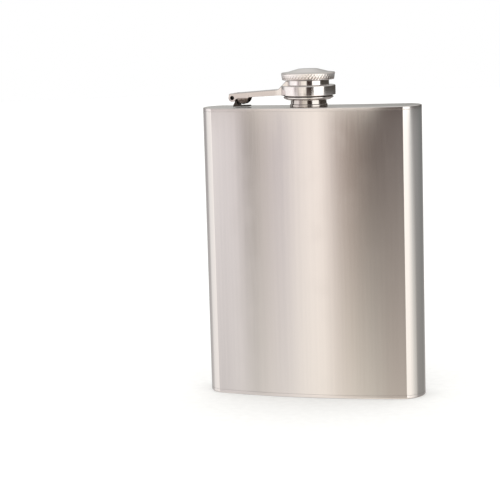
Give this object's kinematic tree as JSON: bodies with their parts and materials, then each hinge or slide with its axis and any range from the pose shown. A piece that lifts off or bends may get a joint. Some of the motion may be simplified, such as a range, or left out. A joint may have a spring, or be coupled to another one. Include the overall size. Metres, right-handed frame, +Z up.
{
  "type": "hip flask",
  "caption": "Curved steel hip flask with a knurled screw cap held captive on a stamped arm that swings on a hinge beside the neck.",
  "frame": {"origin": "the middle of the base of the whole flask's bounding box, on the surface that it stands on", "axes": "+Z up through the neck, +X along the width away from the hinge, -Y out of the convex front"},
  "size_m": [0.095, 0.0256, 0.1399],
  "materials": {
    "body_steel": "satin steel, brushed along the height",
    "plate_steel": "satin steel, brushed along the width, edge polished",
    "neck_steel": "polished steel",
    "hinge_steel": "stamped steel, tumbled",
    "pin_steel": "dark spring steel",
    "arm_steel": "polished steel",
    "washer_steel": "plain steel",
    "crown_steel": "polished steel with a diamond-knurled rim",
    "sleeve_steel": "polished steel",
    "rivet_steel": "plain steel",
    "seal_rubber": "matt white silicone"
  },
  "bodies": {
    "flask": {"body_wrap": "body_steel", "top_plate": "plate_steel", "bottom_plate": "plate_steel", "neck": "neck_steel", "hinge_bracket": "hinge_steel", "hinge_pin": "pin_steel"},
    "arm": {"lever_arm": "arm_steel"},
    "washer": {"slip_washer": "washer_steel"},
    "cap": {"cap_crown": "crown_steel", "threaded_sleeve": "sleeve_steel", "cap_rivet": "rivet_steel", "gasket": "seal_rubber"}
  },
  "joints": [
    {"name": "arm_hinge", "type": "hinge", "parent": "flask", "child": "arm", "pos_m": [-0.0327, -0.00135, 0.12805], "axis": [0, -1, 0], "range_deg": [0, 180]},
    {"name": "cap_float", "type": "slide", "parent": "arm", "child": "washer", "axis": [0, 0, 1], "range_m": [0, 0.0004]},
    {"name": "cap_turn", "type": "hinge", "parent": "washer", "child": "cap", "pos_m": [0, -0.00135, 0.1269], "axis": [0, 0, 1], "continuous": true}
  ]
}
